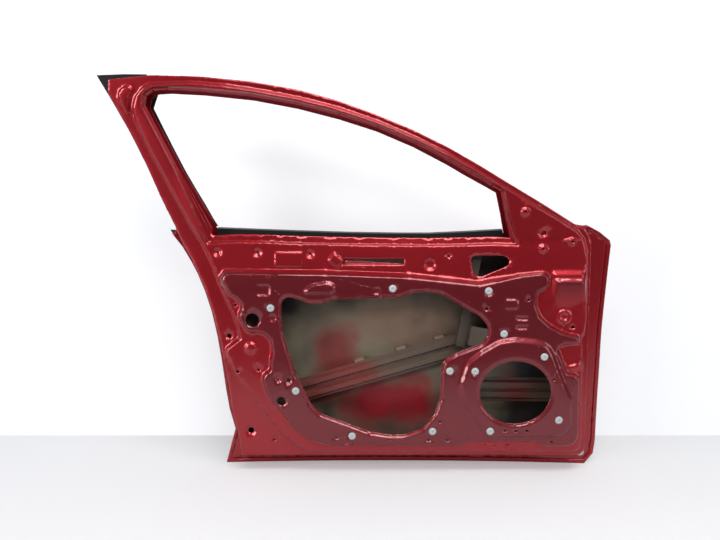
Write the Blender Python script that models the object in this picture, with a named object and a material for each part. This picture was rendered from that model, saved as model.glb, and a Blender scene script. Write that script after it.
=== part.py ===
"""Left front car door shell: hemmed outer skin, stamped inner panel with window frame, and what
is welded, glued or clipped between and on them.

Lengths are in metres. +X points to the front of the car, +Y outwards to the outer skin, +Z up.
The origin is the centre of the upper hinge seat on the front shut face.
"""
import math

import bmesh
import bpy
from mathutils import Vector
from mathutils.geometry import delaunay_2d_cdt

for leftover in list(bpy.data.objects):
    bpy.data.objects.remove(leftover, do_unlink=True)

# Driving dimensions
DOOR_LENGTH = 1.390
DOOR_HEIGHT = 1.095
SHEET = 0.0010            # both panels' sheet
HINGE_DEPTH = 0.058       # inner face to hinge centre
SKIN_DEPTH = 0.106        # inner face to the skin at the belt
LAND_DEPTH = 0.032        # inner face to the seal land
SHELF_DEPTH = 0.015       # inner face to the belt band and hinge zone
BODY_RADIUS = 3.00        # side curvature of the skin below the belt
GLASS_RADIUS = 1.90       # and of the frame's outer side above it
FRAME_RADIUS = 2.20       # curvature of the frame's inner side
PLAN_RADIUS = 8.0         # curvature of the skin seen from above
TUMBLE_SHARE = 0.14       # inward lean at the belt, run for rise
DRAFT_SHARE = 0.10        # draft of the shut faces, run for depth
FRAME_DRAFT_SHARE = 0.03  # and of the window frame's outer wall

# Clearances
SEAT_GAP = 0.0003         # between faces that touch on the real door
GLUE_GAP = 0.0008         # adhesive between curved sheets
WELD_GAP = 0.0006

# The origin and the belt, as shares of the door's length and height
HINGE_X_SHARE = 0.948
HINGE_Z_SHARE = 0.500
BELT_Z_SHARE = 0.607
MIDDLE_X_SHARE = 0.540

RED = (0.26, 0.012, 0.022, 1.0)
BLACK = (0.010, 0.010, 0.012, 1.0)
GREY_GREEN = (0.17, 0.15, 0.11, 1.0)
WHITE = (0.72, 0.74, 0.72, 1.0)
CREAM = (0.50, 0.46, 0.38, 1.0)


def at(x_share, z_share):
    """The place in the door's own X and Z of a point given as shares of its length and height."""
    setback = DRAFT_SHARE * (HINGE_DEPTH - LAND_DEPTH)
    return Vector(((x_share - HINGE_X_SHARE) * DOOR_LENGTH - setback,
                   (z_share - HINGE_Z_SHARE) * DOOR_HEIGHT))


BELT_Z = at(0, BELT_Z_SHARE).y
MIDDLE_X = at(MIDDLE_X_SHARE, 0).x
INNER_Y = -HINGE_DEPTH


def lean(z, radius):
    """How far a surface has moved inwards at height z above the belt."""
    rise = max(z - BELT_Z, 0.0)
    return TUMBLE_SHARE * rise + rise * rise / (2 * radius)


def on_inner(point, depth):
    """Y of the inner panel's surface at a depth behind its main face."""
    return INNER_Y + depth - lean(point.y, FRAME_RADIUS)


def on_skin(point, depth=0.0):
    """Y of the skin's inner side, or of the frame's outer side above the belt, less a depth."""
    drop = max(BELT_Z - point.y, 0.0)
    barrel = TUMBLE_SHARE * drop - drop * drop / (2 * BODY_RADIUS)
    plan = (point.x - MIDDLE_X) ** 2 / (2 * PLAN_RADIUS)
    return INNER_Y + SKIN_DEPTH + barrel - plan - lean(point.y, GLASS_RADIUS) - depth


def outline(shares):
    """A run of points from a table of shares."""
    return [at(x_share, z_share) for x_share, z_share in shares]


def split(points, step, closed=True):
    """The same run with no stretch longer than a step."""
    result = []
    ends = points[1:] + points[:1] if closed else points[1:]
    for start, end in zip(points, ends):
        count = max(1, math.ceil((end - start).length / step))
        result += [start.lerp(end, i / count) for i in range(count)]
    return result if closed else result + [points[-1]]


def rounded(points, radius, corner_steps=3):
    """A closed run with its corners turned into arcs of a radius, limited by the stretches beside."""
    result = []
    count = len(points)
    for i, corner in enumerate(points):
        before = points[i - 1] - corner
        after = points[(i + 1) % count] - corner
        turn = math.pi - before.angle(after)
        reach = min(radius * math.tan(turn / 2), before.length * 0.45, after.length * 0.45)
        start = corner + before.normalized() * reach
        end = corner + after.normalized() * reach
        steps = max(1, round(corner_steps * turn / (math.pi / 2)))
        for j in range(steps + 1):
            t = j / steps
            result.append(start * (1 - t) ** 2 + corner * 2 * t * (1 - t) + end * t ** 2)
    return result


def area(points):
    """Signed area, positive where the run turns anticlockwise."""
    ends = points[1:] + points[:1]
    return sum(a.x * b.y - b.x * a.y for a, b in zip(points, ends)) / 2


def side_normals(points, closed):
    """For each point, the mean left-hand normal, stretched so that parallel sides keep a distance."""
    count = len(points)
    normals = []
    for i, point in enumerate(points):
        before = point - points[i - 1] if closed or i else points[1] - point
        after = points[(i + 1) % count] - point if closed or i < count - 1 else before
        left = Vector((-before.y, before.x)).normalized()
        next_left = Vector((-after.y, after.x)).normalized()
        mean = (left + next_left).normalized()
        normals.append(mean / max(mean.dot(left), 0.7))
    return normals


def inset(points, distance):
    """A closed run moved inwards by a distance, which may be a function of the point."""
    sign = 1 if area(points) > 0 else -1
    moved = []
    for point, normal in zip(points, side_normals(points, True)):
        reach = distance(point) if callable(distance) else distance
        moved.append(point + normal * (sign * reach))
    return moved


def circle(centre, radius, sides, stretch=1.0, turn=0.0):
    """A round or oval run about a centre."""
    angles = [turn + 2 * math.pi * i / sides for i in range(sides)]
    return [centre + Vector((radius * math.cos(a) * stretch, radius * math.sin(a))) for a in angles]


def slab(centre, width, height, turn=0.0):
    """A four-cornered run about a centre."""
    corners = [(-width / 2, -height / 2), (width / 2, -height / 2),
               (width / 2, height / 2), (-width / 2, height / 2)]
    cosine, sine = math.cos(turn), math.sin(turn)
    return [centre + Vector((x * cosine - y * sine, x * sine + y * cosine)) for x, y in corners]


def inside(point, loop):
    """Whether a point lies within a closed run."""
    odd = False
    for a, b in zip(loop, loop[1:] + loop[:1]):
        if (a.y > point.y) != (b.y > point.y):
            if point.x < a.x + (point.y - a.y) / (b.y - a.y) * (b.x - a.x):
                odd = not odd
    return odd


def material(name, colour, roughness, metallic):
    """A plain finish."""
    finish = bpy.data.materials.new(name)
    finish.use_nodes = True
    shader = finish.node_tree.nodes["Principled BSDF"]
    shader.inputs["Base Color"].default_value = colour
    shader.inputs["Roughness"].default_value = roughness
    shader.inputs["Metallic"].default_value = metallic
    return finish


def place(name, mesh_data, finish, thickness=0.0, grows="outwards", smooth=False):
    """An object of a bmesh. A sheet gets its thickness towards +Y, or to the right of its strip."""
    mesh = bpy.data.meshes.new(name)
    if not thickness or grows == "outwards":
        bmesh.ops.recalc_face_normals(mesh_data, faces=mesh_data.faces)
    facing = sum(face.normal.y * face.calc_area() for face in mesh_data.faces)
    if (grows == "outwards" and thickness and facing > 0) or grows == "left":
        bmesh.ops.reverse_faces(mesh_data, faces=mesh_data.faces)
    mesh_data.to_mesh(mesh)
    mesh_data.free()
    if smooth:
        mesh.shade_smooth()
        mesh.set_sharp_from_angle(angle=math.radians(35))
    mesh.materials.append(material(name + "_finish", *finish))
    piece = bpy.data.objects.new(name, mesh)
    bpy.context.scene.collection.objects.link(piece)
    if thickness:
        solid = piece.modifiers.new("sheet", "SOLIDIFY")
        solid.thickness = thickness
        solid.offset = -1.0
        solid.use_even_offset = True
    return piece


def stamping(rings, holes=(), lines=(), spots=()):
    """A sheet formed over rings, each a closed run with the Y of its points; holes are rings too.

    The first ring is the sheet's edge. The sheet is flat between one ring and the next, and lines
    are open runs that it also follows.
    """
    points, heights, edges = [], [], []
    for loop, height in list(rings) + list(holes):
        first = len(points)
        points += loop
        heights += [height(point) for point in loop]
        edges += [(first + i, first + (i + 1) % len(loop)) for i in range(len(loop))]
    for run, height in lines:
        first = len(points)
        points += run
        heights += [height(point) for point in run]
        edges += [(first + i, first + i + 1) for i in range(len(run) - 1)]
    for point, height in spots:
        points.append(point)
        heights.append(height(point))
    flat, _, faces, sources, _, _ = delaunay_2d_cdt(points, edges, [], 0, DOOR_LENGTH * 1e-7, True)
    sheet = bmesh.new()
    corners = []
    for point, source in zip(flat, sources):
        nearest = source[0] if source else min(range(len(points)),
                                               key=lambda i: (points[i] - point).length_squared)
        corners.append(sheet.verts.new((point.x, heights[nearest], point.y)))
    boundary = rings[0][0]
    for face in faces:
        centre = sum((flat[i] for i in face), Vector((0.0, 0.0))) / len(face)
        if inside(centre, boundary) and not any(inside(centre, hole) for hole, _ in holes):
            sheet.faces.new([corners[i] for i in face])
    loose = [vert for vert in sheet.verts if not vert.link_faces]
    bmesh.ops.delete(sheet, geom=loose, context="VERTS")
    return sheet


def strip(path, profile, closed=False):
    """A bent strip along a path: each profile point is an offset to the left and a Y function."""
    sheet = bmesh.new()
    rows = []
    for point, normal in zip(path, side_normals(path, closed)):
        row = []
        for offset, height in profile:
            moved = point + normal * offset
            row.append(sheet.verts.new((moved.x, height(moved), moved.y)))
        rows.append(row)
    ends = rows[1:] + rows[:1] if closed else rows[1:]
    for row, after in zip(rows, ends):
        for i in range(len(profile) - 1):
            sheet.faces.new((row[i], row[i + 1], after[i + 1], after[i]))
    return sheet


def at_inner(depth):
    return lambda point: on_inner(point, depth)


def at_skin(depth):
    return lambda point: on_skin(point, depth)


PAINT = (RED, 0.32, 0.35)
TRIM = (BLACK, 0.45, 0.0)
PRIMER = (GREY_GREEN, 0.55, 0.1)
NYLON = (WHITE, 0.5, 0.0)
MASTIC = (CREAM, 0.8, 0.0)

# The door's outline as shares of its length and height, clockwise seen from inside the car
HEADER_SHARES = [(0.022, 0.988), (0.108, 0.998), (0.198, 0.995), (0.288, 0.985), (0.380, 0.966),
                 (0.450, 0.943), (0.522, 0.912), (0.593, 0.877), (0.659, 0.838), (0.715, 0.800),
                 (0.770, 0.760), (0.849, 0.703), (0.8935, 0.669), (0.921, 0.648)]
FRONT_SHARES = [(0.949, 0.642), (0.976, 0.624), (0.997, 0.603), (1.000, 0.590), (0.997, 0.471),
                (0.994, 0.363), (0.993, 0.255), (0.991, 0.172), (0.988, 0.062), (0.984, 0.028),
                (0.966, 0.000)]
REAR_SHARES = [(0.204, 0.000), (0.223, 0.091), (0.211, 0.146), (0.204, 0.201), (0.196, 0.283),
               (0.189, 0.345), (0.179, 0.412), (0.167, 0.467), (0.154, 0.514), (0.142, 0.548),
               (0.126, 0.587), (0.107, 0.621)]
PILLAR_SHARES = [(0.117, 0.640), (0.115, 0.646), (0.1076, 0.669), (0.096, 0.705), (0.071, 0.794),
                 (0.047, 0.870), (0.018, 0.952)]
WINDOW_SHARES = [(0.091, 0.925), (0.096, 0.944), (0.110, 0.955), (0.135, 0.957), (0.197, 0.954),
                 (0.287, 0.944), (0.370, 0.926), (0.449, 0.902), (0.522, 0.874), (0.594, 0.837),
                 (0.659, 0.796), (0.700, 0.767), (0.742, 0.739), (0.762, 0.725), (0.773, 0.673),
                 (0.785, 0.611)]
SILL_SHARES = [(0.754, 0.615), (0.702, 0.613), (0.624, 0.611), (0.488, 0.613), (0.372, 0.616),
               (0.294, 0.620), (0.240, 0.621), (0.198, 0.617), (0.140, 0.780)]

# The inner panel's forms, each from its own table
LAND_SHARES = [(0.935, 0.634), (0.948, 0.604), (0.948, 0.060), (0.940, 0.048), (0.246, 0.048),
               (0.243, 0.088), (0.239, 0.115), (0.229, 0.168), (0.223, 0.233), (0.214, 0.299),
               (0.2075, 0.345), (0.194, 0.423), (0.181, 0.476), (0.156, 0.553), (0.136, 0.600),
               (0.1235, 0.640)]
SEAL_SHARES = [(0.073, 0.943), (0.088, 0.963), (0.107, 0.973), (0.180, 0.976), (0.243, 0.970),
               (0.306, 0.959), (0.378, 0.943), (0.450, 0.921), (0.522, 0.892), (0.593, 0.856),
               (0.658, 0.818), (0.707, 0.784), (0.797, 0.719), (0.878, 0.661), (0.918, 0.630),
               (0.934, 0.606), (0.940, 0.568), (0.943, 0.400), (0.939, 0.368), (0.934, 0.357),
               (0.936, 0.300), (0.939, 0.282), (0.936, 0.205), (0.940, 0.182), (0.940, 0.092),
               (0.937, 0.066), (0.923, 0.057),
               (0.387, 0.057), (0.358, 0.074), (0.326, 0.111), (0.306, 0.142), (0.288, 0.177),
               (0.267, 0.216), (0.247, 0.244), (0.228, 0.291), (0.219, 0.311), (0.218, 0.330),
               (0.232, 0.345), (0.246, 0.358), (0.242, 0.388), (0.232, 0.424), (0.219, 0.462),
               (0.206, 0.503), (0.192, 0.553), (0.176, 0.596), (0.155, 0.641), (0.122, 0.731),
               (0.089, 0.823), (0.071, 0.882), (0.066, 0.917)]
FACE_SHARES = [(0.217, 0.522), (0.420, 0.519), (0.586, 0.511), (0.645, 0.503), (0.674, 0.499),
               (0.723, 0.492), (0.752, 0.500), (0.801, 0.515), (0.850, 0.522), (0.864, 0.505),
               (0.850, 0.487), (0.835, 0.478), (0.832, 0.445), (0.842, 0.412), (0.862, 0.389),
               (0.886, 0.372), (0.908, 0.364), (0.922, 0.360), (0.922, 0.350), (0.893, 0.346),
               (0.876, 0.339), (0.882, 0.318), (0.893, 0.290), (0.898, 0.267), (0.922, 0.263),
               (0.924, 0.104), (0.918, 0.090), (0.905, 0.084), (0.860, 0.084), (0.842, 0.096),
               (0.706, 0.096), (0.688, 0.084), (0.448, 0.084), (0.418, 0.088), (0.384, 0.101),
               (0.354, 0.135), (0.337, 0.166),
               (0.319, 0.190), (0.305, 0.221), (0.297, 0.252), (0.301, 0.268), (0.314, 0.274),
               (0.314, 0.302), (0.318, 0.326), (0.315, 0.354),
               (0.303, 0.372), (0.285, 0.379), (0.269, 0.376),
               (0.262, 0.388), (0.250, 0.416), (0.257, 0.430), (0.258, 0.449), (0.248, 0.462),
               (0.234, 0.472), (0.224, 0.496)]
ACCESS_SHARES = [(0.334, 0.457), (0.350, 0.465), (0.370, 0.457), (0.390, 0.447), (0.412, 0.448),
                 (0.439, 0.458), (0.528, 0.462), (0.567, 0.463), (0.590, 0.474), (0.622, 0.477),
                 (0.650, 0.471), (0.690, 0.441), (0.726, 0.415), (0.741, 0.392), (0.742, 0.367),
                 (0.730, 0.347), (0.677, 0.321), (0.655, 0.305), (0.650, 0.270), (0.648, 0.205),
                 (0.636, 0.162), (0.612, 0.128), (0.579, 0.112), (0.549, 0.111), (0.508, 0.119),
                 (0.468, 0.139), (0.408, 0.168), (0.390, 0.195), (0.364, 0.262), (0.349, 0.320),
                 (0.337, 0.372), (0.334, 0.410)]
PAD_SHARES = [(0.706, 0.296), (0.731, 0.321), (0.765, 0.347), (0.794, 0.353), (0.834, 0.348),
              (0.855, 0.340), (0.866, 0.318), (0.877, 0.280), (0.888, 0.245), (0.906, 0.200),
              (0.906, 0.134), (0.885, 0.113), (0.745, 0.112), (0.700, 0.195), (0.693, 0.240)]
VENT_SHARES = [(0.706, 0.567), (0.775, 0.567), (0.785, 0.552), (0.777, 0.540), (0.727, 0.514),
               (0.713, 0.520)]
SPEAKER_CENTRE_SHARE = (0.797, 0.223)
SPEAKER_WIDTH = 0.196
SPEAKER_HEIGHT = 0.176

FLANGE_WIDTH = 0.008      # frame flange
STEP_RUN = 0.007          # run of a drawn step
TOP_STEP_RUN = 0.014      # and of the step under the belt band
TOP_STEP_LIMIT_SHARE = (0.800, 0.492)
FORM_ROUNDING = 0.010
OPENING_ROUNDING = 0.012
PAD_ROUNDING = 0.020
ACCESS_LIP = 0.004        # set-back of the sheet round the access opening
ACCESS_LIP_WIDTH = 0.0050
ACCESS_LIP_RUN = 0.0035
SPEAKER_LIP = 0.003       # set-back of the sheet round the speaker opening
SPEAKER_LIP_WIDTH = 0.004
SPEAKER_LIP_RUN = 0.004
SILL_TOP_SHARE = 0.625
SILL_DROP = 0.022         # height of the recessed strip under the window
SILL_STEP_RUN = 0.004
FRAME_LIP_WIDTH = 0.008   # and width of the same strip along the frame
FRAME_LIP_RUN = 0.003
LIP_STEP = 0.010          # depth of the strip's step, at its start and at the window's edge
LIP_DEPTH = 0.012
FRAME_FLANGE_DROP = 0.010
FRAME_START_SHARE = 0.645
FRAME_RAMP = 0.026
HEM_STACK = GLUE_GAP + SHEET
HEM_CLEARANCE = 0.0022
PERIMETER_STEP = 0.075


def flange_drop(point):
    """How far the flange's inner side lies behind the skin: a hem below the belt, a weld above."""
    share = min(max((point.y - at(0, FRAME_START_SHARE).y) / FRAME_RAMP, 0.0), 1.0)
    return HEM_STACK + (FRAME_FLANGE_DROP - HEM_STACK) * share


def on_flange(point):
    return on_skin(point, flange_drop(point))


def perimeter():
    """The inner panel's edge: inside the hem below the belt, inside the trims above it."""
    shares = HEADER_SHARES + FRONT_SHARES + REAR_SHARES + PILLAR_SHARES
    return inset(split(outline(shares), PERIMETER_STEP), HEM_CLEARANCE)


def land_edge():
    """The line where the shut faces meet the seal land."""
    count = len(HEADER_SHARES)
    frame = inset(outline(HEADER_SHARES + FRONT_SHARES + REAR_SHARES + PILLAR_SHARES), FLANGE_WIDTH)
    header = frame[:count]
    pillar = frame[-len(PILLAR_SHARES) + 1:]
    return split(header + outline(LAND_SHARES) + pillar, PERIMETER_STEP)


def draft(point):
    """The draft of the panel's outer walls, which runs down from the belt to the window frame."""
    share = min(max((point.y - BELT_Z) / (at(0, FRAME_START_SHARE).y - BELT_Z), 0.0), 1.0)
    return DRAFT_SHARE + (FRAME_DRAFT_SHARE - DRAFT_SHARE) * share


def wall_foot(loop):
    """The foot of the shut faces, moved out by their draft."""
    return inset(loop, lambda point: -draft(point) * (on_flange(point) - on_inner(point, LAND_DEPTH)))


def step(loop, outer_depth, inner_depth, run=STEP_RUN):
    """The two rings of a drawn step: its foot on the outer side and its top within."""
    return [(loop, at_inner(outer_depth)), (inset(loop, run), at_inner(inner_depth))]


SMALL_RUN = 0.003
PAD_RISE = 0.008
PAD_RUN = 0.012
HOLE_SIDES = 8

# Round holes: the places of each size
SCREW_HOLE_RADIUS = 0.0035
FACE_SCREW_SHARES = [(0.442, 0.104), (0.548, 0.098), (0.626, 0.098), (0.665, 0.098), (0.820, 0.458),
                     (0.872, 0.0935), (0.6486, 0.1457)]
SHELF_SCREW_SHARES = [(0.664, 0.566), (0.2415, 0.443), (0.286, 0.277)]
LAND_SCREW_SHARES = [(0.314, 0.088)]
PAD_SCREW_SHARES = [(0.778, 0.125), (0.799, 0.124), (0.821, 0.125), (0.872, 0.2575)]
CLIP_HOLE_RADIUS = 0.0045
FACE_CLIP_SHARES = [(0.738, 0.436)]
SHELF_CLIP_SHARES = [(0.244, 0.272), (0.912, 0.387)]
TOOL_HOLE_RADIUS = 0.0065
FACE_TOOL_SHARES = [(0.347, 0.254)]
SHELF_TOOL_SHARES = [(0.849, 0.624)]
LAND_TOOL_SHARES = [(0.226, 0.361)]
DRAIN_HOLE_RADIUS = 0.0085
LAND_DRAIN_SHARES = [(0.267, 0.114)]
GAUGE_HOLE_RADIUS = 0.0120
FACE_GAUGE_SHARES = [(0.332, 0.200)]
WIRING_HOLE_RADIUS = 0.0190
FACE_WIRING_SHARES = [(0.277, 0.407)]
ROUND_HOLES = [
    (SCREW_HOLE_RADIUS, 0.0, FACE_SCREW_SHARES), (SCREW_HOLE_RADIUS, SHELF_DEPTH, SHELF_SCREW_SHARES),
    (SCREW_HOLE_RADIUS, LAND_DEPTH, LAND_SCREW_SHARES), (SCREW_HOLE_RADIUS, -PAD_RISE, PAD_SCREW_SHARES),
    (CLIP_HOLE_RADIUS, 0.0, FACE_CLIP_SHARES), (CLIP_HOLE_RADIUS, SHELF_DEPTH, SHELF_CLIP_SHARES),
    (TOOL_HOLE_RADIUS, 0.0, FACE_TOOL_SHARES), (TOOL_HOLE_RADIUS, SHELF_DEPTH, SHELF_TOOL_SHARES),
    (TOOL_HOLE_RADIUS, LAND_DEPTH, LAND_TOOL_SHARES), (DRAIN_HOLE_RADIUS, LAND_DEPTH, LAND_DRAIN_SHARES),
    (GAUGE_HOLE_RADIUS, 0.0, FACE_GAUGE_SHARES), (WIRING_HOLE_RADIUS, 0.0, FACE_WIRING_SHARES)]

# Round embosses on the shelf, with a hole in the middle: sunk ones and raised ones
BOSS_RADIUS = 0.0130
BOSS_SINK = 0.004
BOSS_RISE = 0.006
SUNK_BOSS_SHARES = [(0.208, 0.576), (0.287, 0.575), (0.391, 0.572)]
RAISED_BOSS_SHARES = [(0.809, 0.676), (0.905, 0.602), (0.848, 0.584)]
# Round embosses without a hole
DIMPLE_RADIUS = 0.0120
DIMPLE_SINK = 0.003
FACE_DIMPLE_SHARES = [(0.522, 0.480), (0.317, 0.412)]
STUD_RADIUS = 0.0165
STUD_SINK = 0.005
SUNK_STUD_SHARE = (0.627, 0.545)
RAISED_STUD_SHARE = (0.271, 0.334)
# The raised ring in the hinge zone: radii of its foot, its crown's two edges and its well
RING_SHARE = (0.8936, 0.4138)
RING_RADII = (0.0210, 0.0180, 0.0120, 0.0090)
RING_RISE = 0.004

# Straight-sided embosses
EMBOSS_RISE = 0.005
PLATE_SHARE = (0.3486, 0.558)
PLATE_WIDTH = 0.078
PLATE_HEIGHT = 0.042
PLATE_RISE = 0.002
POCKET_SHARE = (0.299, 0.482)
POCKET_WIDTH = 0.038
POCKET_HEIGHT = 0.032
POCKET_SINK = 0.003
BELT_RIB_SHARE = (0.516, 0.552)
BELT_RIB_WIDTH = 0.168
BELT_RIB_HEIGHT = 0.018
DIAMOND_SHARE = (0.442, 0.5555)
DIAMOND_WIDTH = 0.038
DIAMOND_HEIGHT = 0.030
DIAMOND_TURN = -0.7
PATCH_SHARE = (0.787, 0.447)
PATCH_WIDTH = 0.036
PATCH_HEIGHT = 0.028
SLOT_SHARES = [(0.808, 0.411), (0.808, 0.388)]
SLOT_HEIGHT = 0.013
LOW_PATCH_SHARE = (0.7516, 0.0765)
LOW_PATCH_HEIGHT = 0.014
LOW_STUD_SHARE = (0.7875, 0.0765)
LOW_STUD_RADIUS = 0.0085

# Embosses with an outline of their own
CORNER_SHAPE_SHARES = [(0.373, 0.473), (0.394, 0.497), (0.425, 0.503), (0.440, 0.498), (0.440, 0.473)]
CORNER_SHAPE_RISE = 0.006
GUSSET_SHARES = [(0.042, 0.936), (0.046, 0.958), (0.062, 0.969), (0.076, 0.963), (0.063, 0.940),
                 (0.060, 0.910), (0.057, 0.905)]
GUSSET_RISE = 0.008
NOTCH_SHARES = [(0.318, 0.268), (0.330, 0.268), (0.334, 0.248), (0.323, 0.242)]
# The hinge zone's ledges: each line with its rise towards the cabin
LEDGE_SHARES = [[(0.868, 0.5310), (0.929, 0.5310)], [(0.870, 0.5200), (0.929, 0.5200)],
                [(0.877, 0.5115), (0.929, 0.5115)], [(0.878, 0.5015), (0.929, 0.5015)],
                [(0.872, 0.4500), (0.929, 0.4500)],
                [(0.902, 0.2900), (0.922, 0.2965)], [(0.904, 0.2800), (0.922, 0.2865)]]
LEDGE_STEP = 0.006
LEDGE_TOP_STEP_SHARES = (0.0, 1.0, 1.15, 2.15, 0.6, 0.0, 0.85)
# Lines that the sail corner is bent along
SAIL_LINE_SHARES = [[(0.797, 0.606), (0.925, 0.606)], [(0.797, 0.640), (0.888, 0.640)],
                    [(0.792, 0.690), (0.828, 0.690)]]
# Nylon plugs in the main face
PLUG_SHARES = [(0.313, 0.437), (0.553, 0.486), (0.741, 0.480), (0.773, 0.372), (0.852, 0.315),
               (0.716, 0.278), (0.667, 0.277), (0.884, 0.153), (0.748, 0.124), (0.634, 0.121),
               (0.473, 0.109), (0.361, 0.226)]
PLUG_ON_PAD = (5, 4, 7, 8)
CORNER_PLUG_SHARE = (0.958, 0.030)
PLUG_SIDES = 10
PLUG_HOLE_RADIUS = 0.0052
PLUG_HEAD_RADIUS = 0.0105
PLUG_HEAD_HEIGHT = 0.0040
PLUG_SHANK_LENGTH = 0.0080
DRAIN_STEM_LENGTH = 0.0030
# The head's section, as shares of its radius and height, and the shank's, of its radius and length
HEAD_SHARES = ((0.20, 0.55), (0.22, 1.0), (0.62, 0.95), (0.94, 0.55))
SHANK_SHARES = ((1.0, 0.7), (0.7, 1.0))


def plug_depth(index):
    return -PAD_RISE if index in PLUG_ON_PAD else 0.0


def hole_sides(radius):
    return HOLE_SIDES if radius < PLUG_HEAD_RADIUS else 2 * HOLE_SIDES


def window_strip(window):
    """The rings of the recessed strip round the window: its foot on the shelf, its step, its edge."""
    sill_top = at(0, SILL_TOP_SHARE).y

    def foot(point):
        return -FRAME_LIP_WIDTH if point.y > sill_top else -SILL_DROP

    def top(point):
        return foot(point) + (FRAME_LIP_RUN if point.y > sill_top else SILL_STEP_RUN)

    return [(inset(window, foot), at_inner(SHELF_DEPTH)),
            (inset(window, top), at_inner(SHELF_DEPTH + LIP_STEP))]


def face_rings():
    """The rings of the raised face: its foot, farther out along the belt band, and its edge."""
    face = rounded(outline(FACE_SHARES), FORM_ROUNDING, 1)
    limit = at(*TOP_STEP_LIMIT_SHARE)

    def foot(point):
        return -TOP_STEP_RUN if point.x < limit.x and point.y > limit.y else -STEP_RUN

    return [(inset(face, foot), at_inner(SHELF_DEPTH)), (face, at_inner(0.0))]


def round_embosses():
    """Rings and holes of the bosses, dimples and studs, and of the ring in the hinge zone."""
    rings, holes = [], []
    for shares, rise in ((SUNK_BOSS_SHARES, BOSS_SINK), (RAISED_BOSS_SHARES, -BOSS_RISE)):
        for share in shares:
            rings += step(circle(at(*share), BOSS_RADIUS, HOLE_SIDES), SHELF_DEPTH, SHELF_DEPTH + rise,
                          SMALL_RUN)
            holes.append((circle(at(*share), SCREW_HOLE_RADIUS, HOLE_SIDES), at_inner(SHELF_DEPTH + rise)))
    for share in FACE_DIMPLE_SHARES:
        rings += step(circle(at(*share), DIMPLE_RADIUS, HOLE_SIDES), 0.0, DIMPLE_SINK, SMALL_RUN)
    for share, radius, rise in ((SUNK_STUD_SHARE, STUD_RADIUS, STUD_SINK),
                                (RAISED_STUD_SHARE, STUD_RADIUS, -STUD_SINK),
                                (LOW_STUD_SHARE, LOW_STUD_RADIUS, -PLATE_RISE)):
        rings += step(circle(at(*share), radius, HOLE_SIDES), SHELF_DEPTH, SHELF_DEPTH + rise, SMALL_RUN)
    for radius, rise in zip(RING_RADII, (0.0, RING_RISE, RING_RISE, 0.0)):
        rings.append((circle(at(*RING_SHARE), radius, HOLE_SIDES + PLUG_SIDES // 2),
                      at_inner(SHELF_DEPTH - rise)))
    return rings, holes


def straight_embosses():
    """Rings of the straight-sided embosses and of those with an outline of their own."""
    rings = []
    slabs = [(PLATE_SHARE, PLATE_WIDTH, PLATE_HEIGHT, 0.0, SHELF_DEPTH, -PLATE_RISE),
             (POCKET_SHARE, POCKET_WIDTH, POCKET_HEIGHT, 0.0, 0.0, POCKET_SINK),
             (BELT_RIB_SHARE, BELT_RIB_WIDTH, BELT_RIB_HEIGHT, 0.0, SHELF_DEPTH, EMBOSS_RISE),
             (DIAMOND_SHARE, DIAMOND_WIDTH, DIAMOND_HEIGHT, DIAMOND_TURN, SHELF_DEPTH, -EMBOSS_RISE),
             (PATCH_SHARE, PATCH_WIDTH, PATCH_HEIGHT, 0.0, 0.0, -POCKET_SINK),
             (LOW_PATCH_SHARE, PATCH_WIDTH, LOW_PATCH_HEIGHT, 0.0, SHELF_DEPTH, -PLATE_RISE)]
    slabs += [(share, PATCH_WIDTH, SLOT_HEIGHT, 0.0, 0.0, POCKET_SINK) for share in SLOT_SHARES]
    for share, width, height, turn, depth, rise in slabs:
        rings += step(slab(at(*share), width, height, turn), depth, depth + rise, SMALL_RUN)
    for shares, depth, rise in ((CORNER_SHAPE_SHARES, 0.0, -CORNER_SHAPE_RISE),
                                (GUSSET_SHARES, LAND_DEPTH, -GUSSET_RISE),
                                (NOTCH_SHARES, 0.0, EMBOSS_RISE)):
        rings += step(rounded(outline(shares), FORM_ROUNDING, 1), depth, depth + rise, SMALL_RUN)
    return rings


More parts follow.
